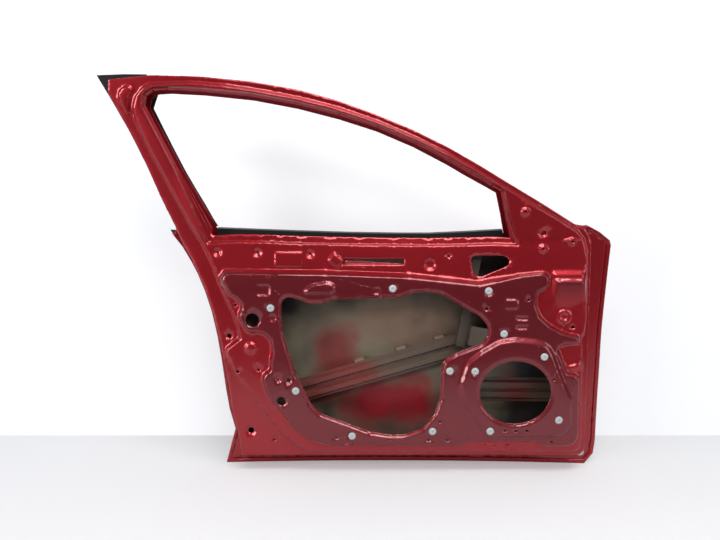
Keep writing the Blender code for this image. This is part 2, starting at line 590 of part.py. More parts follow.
def inner_panel():
    """The stamped inner panel: one sheet with window frame, shut faces, seal land and raised face."""
    land = land_edge()
    rings = [(perimeter(), on_flange), (wall_foot(land), on_flange), (land, at_inner(LAND_DEPTH))]
    rings += step(split(outline(SEAL_SHARES), PERIMETER_STEP), LAND_DEPTH, SHELF_DEPTH)
    rings += face_rings()
    window = outline(WINDOW_SHARES + SILL_SHARES)
    rings += window_strip(window)
    holes = [(window, at_inner(SHELF_DEPTH + LIP_DEPTH))]

    access = rounded(outline(ACCESS_SHARES), OPENING_ROUNDING, 1)
    rings.append((inset(access, -ACCESS_LIP_WIDTH - ACCESS_LIP_RUN), at_inner(0.0)))
    rings.append((inset(access, -ACCESS_LIP_WIDTH), at_inner(ACCESS_LIP)))
    holes.append((access, at_inner(ACCESS_LIP)))

    pad = rounded(outline(PAD_SHARES), PAD_ROUNDING, 1)
    centre = at(*SPEAKER_CENTRE_SHARE)
    foot = inset(pad, lambda point: -PAD_RUN if point.y > centre.y else -STEP_RUN)
    rings += [(foot, at_inner(0.0)), (pad, at_inner(-PAD_RISE))]
    speaker = circle(centre, SPEAKER_HEIGHT / 2, 4 * HOLE_SIDES, SPEAKER_WIDTH / SPEAKER_HEIGHT)
    rim = at_inner(SPEAKER_LIP - PAD_RISE)
    rings.append((inset(speaker, -SPEAKER_LIP_WIDTH - SPEAKER_LIP_RUN), at_inner(-PAD_RISE)))
    rings.append((inset(speaker, -SPEAKER_LIP_WIDTH), rim))
    holes.append((speaker, rim))
    holes.append((rounded(outline(VENT_SHARES), OPENING_ROUNDING, 2), at_inner(SHELF_DEPTH)))

    for radius, depth, shares in ROUND_HOLES:
        holes += [(circle(at(*share), radius, hole_sides(radius)), at_inner(depth)) for share in shares]
    for index, share in enumerate(PLUG_SHARES):
        holes.append((circle(at(*share), PLUG_HOLE_RADIUS, HOLE_SIDES), at_inner(plug_depth(index))))
    boss_rings, boss_holes = round_embosses()
    rings += boss_rings + straight_embosses()
    holes += boss_holes
    lines = [(split(outline(run), PERIMETER_STEP, False), at_inner(SHELF_DEPTH))
             for run in SAIL_LINE_SHARES]
    lines += [(outline(run), at_inner(SHELF_DEPTH - LEDGE_STEP * share))
              for run, share in zip(LEDGE_SHARES, LEDGE_TOP_STEP_SHARES)]
    return place("inner_panel", stamping(rings, holes, lines), PAINT, SHEET)


# The skin
SKIN_TOP_SHARES = [(0.103, 0.631), (0.185, 0.627), (0.264, 0.623), (0.366, 0.618), (0.468, 0.614),
                   (0.570, 0.612), (0.630, 0.612), (0.713, 0.617), (0.800, 0.624), (0.865, 0.633),
                   (0.925, 0.640)]
CREASE_SHARES = [(0.200, 0.478), (0.330, 0.470), (0.470, 0.462), (0.610, 0.456), (0.750, 0.452),
                 (0.900, 0.450)]
SILL_CREASE_SHARES = [(0.275, 0.150), (0.400, 0.140), (0.540, 0.135), (0.680, 0.135), (0.820, 0.140),
                      (0.930, 0.150)]
HANDLE_REAR_SHARE = 0.171
STIFFENER_SHARES = [(0.738, 0.198), (0.925, 0.198)]
STIFFENER_HEIGHT = 0.072
BEAM_SHARES = [(0.300, 0.178), (0.925, 0.409)]
BEAM_WIDTH = 0.070
MASTIC_RUN_SHARES = (0.25, 0.6)
MOULDING_SHARES = [(0.1995, 0.6275), (0.264, 0.624), (0.366, 0.619), (0.468, 0.615), (0.570, 0.613),
                   (0.630, 0.613), (0.713, 0.618), (0.779, 0.623)]
BELT_REACH = 0.034
CREASE_RISE = 0.005
CREASE_REACH = 0.040
HANDLE_DISH_WIDTH = 0.120
HANDLE_DISH_HEIGHT = 0.060
HANDLE_DISH_DEPTH = 0.016
HANDLE_SPAN = 0.165
HANDLE_MARGIN = 0.030
HANDLE_PLATE_MARGIN = 0.012
HANDLE_BELT_GAP = 0.005
DISH_SHARES = ((1.0, 0.0), (0.85, 0.45), (0.6, 0.88), (0.3, 1.0))
HANDLE_HOLE_WIDTH = 0.026
HANDLE_HOLE_HEIGHT = 0.022
HEM_WIDTH = 0.010
FOLD_DEPTH = GLUE_GAP + SHEET + WELD_GAP
SKIN_ROW_STEP = 0.085
SKIN_COLUMN_STEP = 0.140


def skin_edge():
    """The skin's edge: the hemmed run down the front, along the bottom and up the rear, then the top."""
    hemmed = split(outline(FRONT_SHARES + REAR_SHARES), PERIMETER_STEP, False)
    return hemmed, split(outline(SKIN_TOP_SHARES), PERIMETER_STEP, False)


def handle_centre():
    """The middle of the handle dish, as near the rear shut face and the belt as its plate allows."""
    rear = at(HANDLE_REAR_SHARE, 0).x
    belt = at(*BELT_OUTER_SHARES[2]).y
    half = HANDLE_DISH_HEIGHT / 2 + HANDLE_PLATE_MARGIN
    return Vector((rear + HANDLE_SPAN / 2 + HANDLE_MARGIN, belt - BELT_REACH - HANDLE_BELT_GAP - half))


def clear_of(point, loops, distance):
    return all((point - other).length > distance for loop in loops for other in loop)


def outer_skin():
    """The outer skin: a crowned sheet with a handle dish, folded over the inner panel's flange."""
    hemmed, top = skin_edge()
    edge = hemmed + top
    handle = handle_centre()
    stretch = HANDLE_DISH_WIDTH / HANDLE_DISH_HEIGHT
    rings = [(edge, at_skin(0.0))]
    for size_share, depth_share in DISH_SHARES:
        dish = circle(handle, size_share * HANDLE_DISH_HEIGHT / 2, 2 * HOLE_SIDES, stretch)
        rings.append((dish, at_skin(depth_share * HANDLE_DISH_DEPTH)))
    holes = []
    for side in (-1, 1):
        centre = handle + Vector((side * HANDLE_SPAN / 2, 0.0))
        opening = rounded(slab(centre, HANDLE_HOLE_WIDTH, HANDLE_HOLE_HEIGHT), SMALL_RUN, 1)
        holes.append((opening, at_skin(0.0)))
    lines = []
    for shares in (CREASE_SHARES, SILL_CREASE_SHARES):
        crease = split(outline(shares), PERIMETER_STEP, False)
        lines.append((crease, at_skin(-CREASE_RISE)))
        for side in (-1, 1):
            foot = [point + Vector((0.0, side * CREASE_REACH)) for point in crease]
            lines.append((foot, at_skin(0.0)))
    flange = [point for point in wall_foot(land_edge()) if inside(point, edge)]
    stiffener = outline(STIFFENER_SHARES)
    beam = outline(BEAM_SHARES)
    pad_line = [point + Vector((0.0, BEAM_WIDTH / 2)) for point in beam]
    belt = outline(MOULDING_SHARES[1:-1])
    runs = [flange, split([point - Vector((0.0, BELT_REACH)) for point in belt], PERIMETER_STEP, False),
            split([pad_line[0].lerp(pad_line[1], share) for share in MASTIC_RUN_SHARES],
                  PERIMETER_STEP / 2, False)]
    for side in (-1, 1):
        shift = Vector((0.0, side * STIFFENER_HEIGHT / 2))
        runs.append(split([point + shift for point in stiffener], PERIMETER_STEP, False))
    lines += [(run, at_skin(0.0)) for run in runs]
    loops = [loop for loop, _ in rings + holes + lines]
    spots = []
    rows = int(DOOR_HEIGHT / SKIN_ROW_STEP)
    columns = int(DOOR_LENGTH / SKIN_COLUMN_STEP)
    for i in range(1, rows):
        for j in range(1, columns):
            point = at(j / columns, i / rows)
            if inside(point, edge) and clear_of(point, loops, CREASE_REACH):
                spots.append((point, at_skin(0.0)))
    sheet = stamping(rings, holes, lines, spots)
    lip = inset(edge, HEM_WIDTH)[:len(hemmed)]
    rows = []
    for point, within in zip(hemmed, lip):
        rows.append([sheet.verts.new((point.x, on_skin(point), point.y)),
                     sheet.verts.new((point.x, on_skin(point, FOLD_DEPTH), point.y)),
                     sheet.verts.new((within.x, on_skin(within, FOLD_DEPTH), within.y))])
    for row, after in zip(rows, rows[1:]):
        for i in (0, 1):
            sheet.faces.new((row[i], row[i + 1], after[i + 1], after[i]))
    bmesh.ops.remove_doubles(sheet, verts=sheet.verts, dist=SEAT_GAP / 10)
    return place("outer_skin", sheet, PAINT, SHEET)


# The window frame's outer half, the glass channel in it and the black trims
FRAME_OUTER_RECESS = 0.003
FRAME_SEAM_GAP = 0.0011   # spot-welded seam between the two halves of the frame
FRAME_LEG_SHARES = [(0.895, 0.652), (0.922, 0.620), (0.922, 0.560), (0.800, 0.550), (0.797, 0.607)]
FRAME_REAR_LEG_SHARES = [(0.192, 0.607), (0.195, 0.590), (0.152, 0.590), (0.143, 0.607),
                         (0.128, 0.652)]
FRAME_SEAM_WIDTH = 0.007
FRAME_SEAM_RUN = 0.004
TRIM_START_SHARE = 0.125
WINDOW_FOOT_SHARES = [(0.198, 0.617), (0.1975, 0.636), (0.140, 0.780)]
CHANNEL_WIDTH = 0.012
TRIM_WALL = 0.0015


def frame_outer_line():
    """The frame's outer edge from the pillar's foot over the header to the front."""
    edge = perimeter()
    low = [point for point in edge if point.y > at(0, FRAME_START_SHARE).y + 0.7 * FRAME_RAMP]
    start = max(range(len(low)), key=lambda i: (low[i - 1] - low[i]).length)
    return low[start:] + low[:start]


def window_line():
    """The frame's window edge from the belt's front end over the header to the rear end."""
    return outline(WINDOW_FOOT_SHARES + WINDOW_SHARES)


def on_frame_flange(point):
    return min(on_flange(point) + SHEET + FRAME_SEAM_GAP, on_frame_outer(point))


def on_frame_outer(point):
    return on_skin(point, FRAME_OUTER_RECESS)


def window_frame_outer():
    """The outer half of the window frame, welded to the inner panel along the outer flange."""
    rear_leg = outline(FRAME_REAR_LEG_SHARES)
    shape = frame_outer_line() + outline(FRAME_LEG_SHARES) + window_line()[::-1] + rear_leg
    rings = [(shape, on_frame_flange), (inset(shape, FRAME_SEAM_WIDTH), on_frame_flange),
             (inset(shape, FRAME_SEAM_WIDTH + FRAME_SEAM_RUN), on_frame_outer)]
    return place("window_frame_outer", stamping(rings), PAINT, SHEET)


def glass_channel():
    """The channel that the glass runs in, between the two halves of the frame."""
    near = at_inner(SHELF_DEPTH + LIP_DEPTH + SHEET + WELD_GAP)

    def far(point):
        return on_frame_flange(point) - SHEET - FRAME_SEAM_GAP

    profile = [(0.0, near), (CHANNEL_WIDTH, near), (CHANNEL_WIDTH, far), (0.0, far)]
    path = split(window_line(), PERIMETER_STEP, False)
    return place("glass_channel", strip(path, profile), PAINT, SHEET, "left")


def roof_trim():
    """The black moulding along the outer edge of the header."""
    cover = at_skin(FRAME_OUTER_RECESS - SHEET - WELD_GAP)
    profile = [(WELD_GAP, lambda point: on_flange(point) - WELD_GAP), (WELD_GAP, cover),
               (-CHANNEL_WIDTH, cover)]
    path = [point for point in frame_outer_line() if point.x > at(TRIM_START_SHARE, 0).x]
    return place("roof_trim", strip(path, profile), TRIM, TRIM_WALL, "right")


PILLAR_TRIM_SHARES = [(0.115, 0.6365), (0.0983, 0.697), (0.0807, 0.7575), (0.062, 0.818),
                      (0.0421, 0.8773), (0.0215, 0.9367), (0.000, 0.996), (0.050, 0.9995),
                      (0.090, 1.0), (0.110, 0.965), (0.095, 0.925), (0.1099, 0.8767),
                      (0.1255, 0.8283), (0.142, 0.780), (0.1585, 0.738), (0.1759, 0.696),
                      (0.1925, 0.654), (0.199, 0.640), (0.157, 0.6393)]
PILLAR_TRIM_WALL = 0.0025


def pillar_trim():
    """The black cover plate on the outer side of the pillar, wider than the metal behind it."""
    rings = [(outline(PILLAR_TRIM_SHARES), at_skin(-SEAT_GAP))]
    return place("pillar_trim", stamping(rings), TRIM, PILLAR_TRIM_WALL)


MOULDING_WALL = 0.0020
MOULDING_APRON = 0.010    # below the skin's top edge, outside
MOULDING_TOP = 0.006      # above it, at the moulding's two shoulders
MOULDING_CROWN = 0.009
CROWN_DEPTH = 0.003
SHOULDER_DEPTH = 0.0175
MOULDING_LIP = 0.022      # the inner lip, below the skin's top edge
LIP_FLARE = 0.001


def belt_moulding():
    """The black moulding clipped over the skin's top edge, with its inner lip against the glass."""
    outer = at_skin(-SHEET - SEAT_GAP)
    profile = [(-MOULDING_APRON, outer), (MOULDING_TOP, outer), (MOULDING_CROWN, at_skin(CROWN_DEPTH)),
               (MOULDING_TOP, at_skin(SHOULDER_DEPTH)),
               (-MOULDING_LIP, at_skin(SHOULDER_DEPTH + LIP_FLARE))]
    path = split(outline(MOULDING_SHARES), PERIMETER_STEP, False)
    return place("belt_moulding", strip(path, profile), TRIM, MOULDING_WALL, "left")


# The belt's two stiffeners are rolled to one hat section
HAT_WALL = 0.0012
HAT_WIDTH = 0.028
HAT_CROWN = 0.010
HAT_SLOPE = 0.004
HAT_RISE = 0.012
HAT_MARGIN = 0.002
BELT_OUTER_SHARES = [(0.225, 0.6255), (0.264, 0.624), (0.366, 0.619), (0.468, 0.615), (0.570, 0.613),
                     (0.630, 0.613), (0.713, 0.618), (0.768, 0.6222)]


def hat(heights, shift=0.0):
    """The hat section: its offsets, shifted, with six heights from its lower to its upper edge."""
    offsets = (-HAT_WIDTH / 2, -HAT_CROWN / 2 - HAT_SLOPE, -HAT_CROWN / 2,
               HAT_CROWN / 2, HAT_CROWN / 2 + HAT_SLOPE, HAT_WIDTH / 2)
    return [(offset + shift, height) for offset, height in zip(offsets, heights)]


def belt_reinforcement_inner():
    """The rolled stiffener behind the belt band; its lower flange clears the band's rib."""
    near = SHELF_DEPTH + SHEET + SEAT_GAP
    low, flat, crown = at_inner(near + EMBOSS_RISE), at_inner(near), at_inner(near + HAT_RISE)
    drop = Vector((0.0, SILL_DROP + HAT_MARGIN + HAT_WIDTH / 2))
    path = [point - drop for point in outline(SILL_SHARES[1:6])][::-1]
    profile = hat((low, low, crown, crown, flat, flat))
    return place("belt_reinforcement_inner", strip(path, profile), PAINT, HAT_WALL, "left")


def belt_reinforcement_outer():
    """The rolled stiffener behind the skin's top edge."""
    flat, crown = at_skin(WELD_GAP), at_skin(WELD_GAP + HAT_RISE)
    profile = hat((flat, flat, crown, crown, flat, flat), HAT_WIDTH / 2 - BELT_REACH)
    path = split(outline(BELT_OUTER_SHARES), PERIMETER_STEP, False)
    return place("belt_reinforcement_outer", strip(path, profile), PRIMER, HAT_WALL, "right")


BEAM_DEPTH = 0.096
BEAM_WALL = 0.0016
BEAM_RIB = 0.012
BEAM_SECTION_SHARES = ((-1.0, 0.0), (-0.80, 0.0), (-0.66, 1.0), (-0.30, 1.0), (-0.14, 0.0),
                       (0.14, 0.0), (0.30, 1.0), (0.66, 1.0), (0.80, 0.0), (1.0, 0.0))


def flat_at(depth):
    """A flat height, the same over the whole piece."""
    return lambda point: INNER_Y + depth


def impact_beam():
    """The side impact beam: a ribbed pressing from the rear corner up to the hinge side."""
    half = BEAM_WIDTH / 2
    profile = []
    for offset_share, rib_share in BEAM_SECTION_SHARES:
        profile.append((offset_share * half, flat_at(BEAM_DEPTH - rib_share * BEAM_RIB)))
    path = split(outline(BEAM_SHARES), 2 * PERIMETER_STEP, False)
    return place("impact_beam", strip(path, profile), PRIMER, BEAM_WALL, "left")


def against_wall(shares, depths, lips, clearance):
    """Profile and path of a pressing that lies against the inner side of a shut face."""
    path = outline(shares)
    near, far = depths
    rows = []
    for depth in depths:
        rows.append((clearance - DRAFT_SHARE * (depth - LAND_DEPTH), flat_at(depth)))
    first, last = lips
    start = [(rows[0][0] + first, flat_at(near))] if first else []
    end = [(rows[1][0] + last, flat_at(far))] if last else []
    return path, start + rows + end


WALL_CLEARANCE = SHEET + SEAT_GAP
REINFORCEMENT = 0.0020
BRACKET_START = 0.050     # inner face to the beam brackets' near edge
BRACKET_DEPTHS = (BRACKET_START, BEAM_DEPTH + 2 * BEAM_WALL + SEAT_GAP)
FRONT_BRACKET_Z_SHARES = (0.385, 0.443)
FRONT_BRACKET_REACH = 0.110
REAR_BRACKET_REACH = 0.190
FRONT_WALL_X_SHARE = 0.948


def wall_piece(name, shares, depths, lips, thickness, finish=PAINT):
    """A pressing against a shut face, growing inwards from it."""
    path, profile = against_wall(shares, depths, lips, WALL_CLEARANCE)
    return place(name, strip(path, profile), finish, thickness, "right")


def front_run(low_share, high_share):
    """A run up the front shut face; its left is towards the door's middle."""
    return [(FRONT_WALL_X_SHARE, low_share), (FRONT_WALL_X_SHARE, high_share)]


LATCH_RUN_SHARES = [(0.194, 0.423), (0.2075, 0.345)]
REAR_BRACKET_SHARES = [(0.2226, 0.237), (0.2278, 0.185)]
HINGE_REACH_SHARE = 0.052
CHECK_REACH_SHARE = 0.030
HINGE_PLATE_START = 0.008 # seal land to the plates' near edge
HINGE_PLATE_DEPTH = 0.036
LATCH_PLATE_START = 0.006
LATCH_PLATE_DEPTH = 0.032
PLATE_LIP = 0.016
LATCH_LIP = 0.014
LOWER_HINGE_Z_SHARE = 0.200
CHECK_Z_SHARE = 0.330


def wall_pieces():
    """What is welded behind the shut faces: hinge, check strap and latch plates, beam brackets."""
    start = LAND_DEPTH + HINGE_PLATE_START
    hinge_depths = (start, start + HINGE_PLATE_DEPTH)
    for name, centre, reach in (("hinge_reinforcement_upper", HINGE_Z_SHARE, HINGE_REACH_SHARE),
                                ("hinge_reinforcement_lower", LOWER_HINGE_Z_SHARE, HINGE_REACH_SHARE),
                                ("check_strap_reinforcement", CHECK_Z_SHARE, CHECK_REACH_SHARE)):
        wall_piece(name, front_run(centre - reach, centre + reach), hinge_depths,
                   (PLATE_LIP, PLATE_LIP), REINFORCEMENT)
    start = LAND_DEPTH + LATCH_PLATE_START
    wall_piece("latch_reinforcement", LATCH_RUN_SHARES, (start, start + LATCH_PLATE_DEPTH),
               (LATCH_LIP, LATCH_LIP), REINFORCEMENT)
    wall_piece("beam_bracket_front", front_run(*FRONT_BRACKET_Z_SHARES), BRACKET_DEPTHS,
               (0.0, FRONT_BRACKET_REACH), BEAM_WALL, PRIMER)
    wall_piece("beam_bracket_rear", REAR_BRACKET_SHARES, BRACKET_DEPTHS, (0.0, REAR_BRACKET_REACH),
               BEAM_WALL, PRIMER)


MASTIC_SHARES = [(0.488, 0.281), (0.575, 0.314), (0.655, 0.343)]
MASTIC_LENGTH = 0.030
MASTIC_HEIGHT = 0.012
MASTIC_TAPER = 0.002
MASTIC_ROUND = 0.003


def mastic_pads():
    """The soft pads that join the beam's upper flange to the skin."""
    slope = (at(*BEAM_SHARES[1]) - at(*BEAM_SHARES[0]))
    turn = math.atan2(slope.y, slope.x)
    for number, share in enumerate(MASTIC_SHARES, 1):
        pad = bmesh.new()
        shape = rounded(slab(at(*share), MASTIC_LENGTH, MASTIC_HEIGHT, turn), SMALL_RUN, 1)
        tip = inset(shape, MASTIC_TAPER)
        rims = [(tip, flat_at(BEAM_DEPTH + BEAM_WALL + SEAT_GAP)),
                (shape, flat_at(BEAM_DEPTH + BEAM_WALL + MASTIC_ROUND)),
                (shape, at_skin(MASTIC_ROUND)), (tip, at_skin(WELD_GAP))]
        loops = []
        for rim, height in rims:
            loops.append([pad.verts.new((point.x, height(point), point.y)) for point in rim])
        for low, high in zip(loops, loops[1:]):
            for i in range(len(low)):
                j = (i + 1) % len(low)
                pad.faces.new((low[i], low[j], high[j], high[i]))
        pad.faces.new(loops[0])
        pad.faces.new(loops[-1])
        place(f"mastic_pad_{number}", pad, MASTIC)


STIFFENER_RIB = 0.012
STIFFENER_SECTION_SHARES = ((-1.0, 0.0), (-0.72, 0.0), (-0.58, 1.0), (-0.17, 1.0), (-0.06, 0.15),
                            (0.10, 0.15), (0.21, 1.0), (0.61, 1.0), (0.75, 0.0), (1.0, 0.0))


def lower_stiffener():
    """The dent stiffener glued to the skin behind the speaker: a pressing with two ribs."""
    half = STIFFENER_HEIGHT / 2
    profile = [(offset_share * half, at_skin(WELD_GAP + rib_share * STIFFENER_RIB))
               for offset_share, rib_share in STIFFENER_SECTION_SHARES]
    path = split(outline(STIFFENER_SHARES), PERIMETER_STEP, False)
    return place("lower_stiffener", strip(path, profile), PRIMER, BEAM_WALL, "right")


MIRROR_PLATE_SHARES = [(0.820, 0.607), (0.801, 0.660), (0.812, 0.685), (0.828, 0.676),
                       (0.893, 0.628), (0.911, 0.607), (0.905, 0.580), (0.850, 0.565),
                       (0.828, 0.580)]
MIRROR_LINE_SHARES = [[(0.822, 0.606), (0.910, 0.606)], [(0.812, 0.640), (0.885, 0.640)]]
MIRROR_STUD_SHARE = RAISED_BOSS_SHARES[1]
MIRROR_STUD_RADIUS = 0.006
MIRROR_PLATE_STEP = 0.022
MIRROR_PLATE_RUN = 0.006
MIRROR_PLATE_RISE = 0.004


def mirror_reinforcement():
    """The plate behind the sail corner that the mirror's studs pull against."""
    near = SHELF_DEPTH + SHEET + SEAT_GAP
    shape = split(rounded(outline(MIRROR_PLATE_SHARES), OPENING_ROUNDING, 1), MIRROR_PLATE_STEP)
    rim = at_inner(near + MIRROR_PLATE_RISE)
    holes = [(circle(at(*MIRROR_STUD_SHARE), MIRROR_STUD_RADIUS, HOLE_SIDES), rim)]
    lines = [(outline(run), rim) for run in MIRROR_LINE_SHARES]
    rings = [(shape, at_inner(near)), (inset(shape, MIRROR_PLATE_RUN), rim)]
    return place("mirror_reinforcement", stamping(rings, holes, lines), PAINT, REINFORCEMENT)


GLASS_DEPTH = 0.058
CHANNEL_WALL = 0.0012
FRONT_CHANNEL_SHARES = [(0.700, 0.330), (0.735, 0.585)]
REAR_CHANNEL_SHARES = [(0.216, 0.585), (0.262, 0.345)]
FRONT_CHANNEL_WIDTH = 0.024
REAR_CHANNEL_WIDTH = 0.020
FRONT_BRACKET_SPAN_SHARES = (0.72, 0.88)
REAR_BRACKET_SPAN_SHARES = (0.38, 0.54)
FOOT_SPAN_SHARES = (0.05, 0.24)
BRACKET_REACH = 0.060     # bracket: full reach, foot, slope and what it leaves of the lip
BRACKET_FOOT = 0.015
BRACKET_SLOPE = 0.009
BRACKET_INSET = 0.004
FOOT_REACH = 0.048


def channel_piece(name, shares, width):
    """A straight open channel for an edge of the glass, open to the left of its run."""
    near, far = GLASS_DEPTH - width / 2, GLASS_DEPTH + width / 2
    profile = [(width, flat_at(near)), (0.0, flat_at(near)), (0.0, flat_at(far)), (width, flat_at(far))]
    path = split(outline(shares), 2 * PERIMETER_STEP, False)
    return place(name, strip(path, profile), PRIMER, CHANNEL_WALL, "left")


def part_run(shares, start_share, end_share):
    """A stretch of a straight run, from one share of its length to another."""
    start, end = outline(shares)
    return [start.lerp(end, start_share), start.lerp(end, end_share)]


def channel_bracket(name, shares, span_shares, width, seat_depth):
    """A stepped bracket from the inner panel's back to a glass channel's near lip."""
    near = seat_depth + SHEET + SEAT_GAP
    lip = GLASS_DEPTH - width / 2 - 2 * CHANNEL_WALL - SEAT_GAP
    shoulder = BRACKET_REACH - BRACKET_FOOT
    profile = [(BRACKET_REACH, at_inner(near)), (shoulder, at_inner(near)),
               (shoulder - BRACKET_SLOPE, flat_at(lip)), (BRACKET_INSET, flat_at(lip))]
    path = part_run(shares, *span_shares)
    return place(name, strip(path, profile), PRIMER, CHANNEL_WALL, "right")


def glass_channels():
    """The two lower channels inside the door, with the brackets that carry them."""
    channel_piece("front_glass_channel", FRONT_CHANNEL_SHARES, FRONT_CHANNEL_WIDTH)
    channel_piece("rear_glass_channel", REAR_CHANNEL_SHARES, REAR_CHANNEL_WIDTH)
    channel_bracket("front_channel_bracket", FRONT_CHANNEL_SHARES, FRONT_BRACKET_SPAN_SHARES,
                    FRONT_CHANNEL_WIDTH, SHELF_DEPTH)
    channel_bracket("rear_channel_bracket", REAR_CHANNEL_SHARES, REAR_BRACKET_SPAN_SHARES,
                    REAR_CHANNEL_WIDTH, 0.0)
    web = CHANNEL_WALL + SEAT_GAP
    near = ACCESS_LIP + SHEET + SEAT_GAP
    foot = [(-FOOT_REACH, at_inner(near)), (-web, at_inner(near)),
            (-web, flat_at(GLASS_DEPTH + FRONT_CHANNEL_WIDTH / 2))]
    path = part_run(FRONT_CHANNEL_SHARES, *FOOT_SPAN_SHARES)
    place("front_channel_foot", strip(path, foot), PRIMER, CHANNEL_WALL, "left")


HANDLE_PLATE_RUN = 0.004
HANDLE_PLATE_RIM = 0.007
HANDLE_PLATE_GAP = 0.003
HANDLE_BOLT_RADIUS = 0.009


def handle_reinforcement():
    """The plate behind the handle dish that the handle's base is screwed to."""
    handle = handle_centre()
    width = HANDLE_SPAN + 2 * (HANDLE_MARGIN - SMALL_RUN)
    height = HANDLE_DISH_HEIGHT + 2 * HANDLE_PLATE_MARGIN
    shape = split(rounded(slab(handle, width, height), PAD_ROUNDING, 2), PERIMETER_STEP / 2)
    near = at_skin(SHEET + WELD_GAP)
    deep = at_skin(HANDLE_DISH_DEPTH + SHEET + HANDLE_PLATE_GAP)
    rings = [(shape, near), (inset(shape, HANDLE_PLATE_RIM), near),
             (inset(shape, HANDLE_PLATE_RIM + HANDLE_PLATE_RUN), deep)]
    holes = []
    for side in (-1, 1):
        centre = handle + Vector((side * HANDLE_SPAN / 2, 0.0))
        holes.append((circle(centre, HANDLE_BOLT_RADIUS, HOLE_SIDES), deep))
    return place("handle_reinforcement", stamping(rings, holes), PRIMER, SHEET)


def plug(name, centre, seat, shank, length):
    """A nylon plug: a domed head with a screw hole, and a shank through the panel's hole."""
    profile = [(radius_share * PLUG_HEAD_RADIUS, -height_share * PLUG_HEAD_HEIGHT)
               for radius_share, height_share in HEAD_SHARES]
    profile += [(PLUG_HEAD_RADIUS, -SEAT_GAP), (shank, -SEAT_GAP)]
    profile += [(radius_share * shank, length_share * length)
                for radius_share, length_share in SHANK_SHARES]
    body = bmesh.new()
    loops = []
    for ring_radius, height in profile:
        ring = circle(centre, ring_radius, PLUG_SIDES)
        loops.append([body.verts.new((point.x, seat + height, point.y)) for point in ring])
    for low, high in zip(loops, loops[1:]):
        for i in range(PLUG_SIDES):
            j = (i + 1) % PLUG_SIDES
            body.faces.new((low[i], low[j], high[j], high[i]))
    body.faces.new(loops[0])
    body.faces.new(loops[-1])
    return place(name, body, NYLON, smooth=True)


def plugs():
    """The plugs around the access and speaker openings."""
    for index, share in enumerate(PLUG_SHARES):
        centre = at(*share)
        plug(f"trim_plug_{index + 1}", centre, at_inner(plug_depth(index))(centre),
             PLUG_HOLE_RADIUS - WELD_GAP, PLUG_SHANK_LENGTH)
    corner = at(*CORNER_PLUG_SHARE)
    stem = PLUG_HOLE_RADIUS
    rest = min(on_flange(point) for point in circle(corner, stem, PLUG_SIDES))
    plug("drain_plug", corner, rest - WELD_GAP - DRAIN_STEM_LENGTH, stem, DRAIN_STEM_LENGTH)


inner_panel()
outer_skin()
window_frame_outer()
glass_channel()
roof_trim()
pillar_trim()
belt_moulding()
belt_reinforcement_inner()
belt_reinforcement_outer()
impact_beam()
wall_pieces()
mastic_pads()
lower_stiffener()
mirror_reinforcement()
glass_channels()
handle_reinforcement()
plugs()
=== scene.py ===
"""Looks of a left front car door shell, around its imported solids.

The door stands in its own frame: +X to the front of the car, +Y outwards, +Z up, with the origin
on the upper hinge seat. The camera looks at its inside.
"""

import math
from collections import deque

import bmesh
import bpy
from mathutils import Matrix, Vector
from mathutils.bvhtree import BVHTree
from mathutils.kdtree import KDTree


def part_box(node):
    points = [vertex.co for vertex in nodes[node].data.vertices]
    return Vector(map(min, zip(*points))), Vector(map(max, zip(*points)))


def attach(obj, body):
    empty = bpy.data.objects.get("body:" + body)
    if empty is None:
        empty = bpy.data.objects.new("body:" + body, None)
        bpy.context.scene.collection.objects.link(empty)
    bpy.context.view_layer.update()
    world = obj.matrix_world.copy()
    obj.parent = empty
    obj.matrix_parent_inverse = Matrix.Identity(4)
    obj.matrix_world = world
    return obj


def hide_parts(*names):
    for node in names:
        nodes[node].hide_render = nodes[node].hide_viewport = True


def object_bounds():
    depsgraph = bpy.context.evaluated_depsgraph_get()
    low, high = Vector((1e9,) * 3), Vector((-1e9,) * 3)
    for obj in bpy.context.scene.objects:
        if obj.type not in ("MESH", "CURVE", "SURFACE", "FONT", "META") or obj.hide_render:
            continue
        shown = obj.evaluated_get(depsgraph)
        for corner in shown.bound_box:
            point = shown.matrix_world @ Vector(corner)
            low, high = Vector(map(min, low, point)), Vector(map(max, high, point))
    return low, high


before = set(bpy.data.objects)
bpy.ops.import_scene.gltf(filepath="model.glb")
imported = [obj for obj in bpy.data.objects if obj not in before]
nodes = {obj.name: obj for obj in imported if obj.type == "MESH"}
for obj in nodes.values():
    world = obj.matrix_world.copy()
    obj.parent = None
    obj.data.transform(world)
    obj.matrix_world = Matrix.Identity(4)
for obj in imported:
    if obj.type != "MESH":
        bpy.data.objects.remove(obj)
cad_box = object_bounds()

# Camera: a wide view of the door's inside from about the height of its sill, tipped slightly down.
CAMERA_PLACE = (-0.6408, -1.680, 0.179)
CAMERA_PITCH = math.radians(90.0 - 5.05)
CAMERA_LENS = 30.0
SENSOR = 36.0

view = bpy.data.cameras.new("view")
view.lens = CAMERA_LENS
view.sensor_width = SENSOR
camera = bpy.data.objects.new("camera", view)
camera.location = CAMERA_PLACE
camera.rotation_euler = (CAMERA_PITCH, 0.0, 0.0)
bpy.context.scene.collection.objects.link(camera)
bpy.context.scene.camera = camera

# Floor and wall: a pale floor that the door's hem stands on and a white wall behind it, in matt
# paint. They glow a little to the camera, so that they stay pale without lighting the door.
FLOOR_DROP = 0.0004
STAGE_SIZE = 9.0
WALL_DISTANCE = 0.19
# Painted shade: the floor goes dark towards the front, for a dim room that the door's paint
# reflects.
PALE_TO = -0.5
DARK_FROM = -1.6
FAR_SHADE_COLOUR = "#3a3a3d"
GLOW_COLOUR = "#f4f6f7"
STAGE_ROUGHNESS = 0.9
# Each has a name, a colour, its glow to the camera and its glow in mirror-like surfaces.
STAGE = (("floor", "#d2d2d4", 0.26, 0.02), ("wall", "#b9b9bd", 0.54, 0.30))


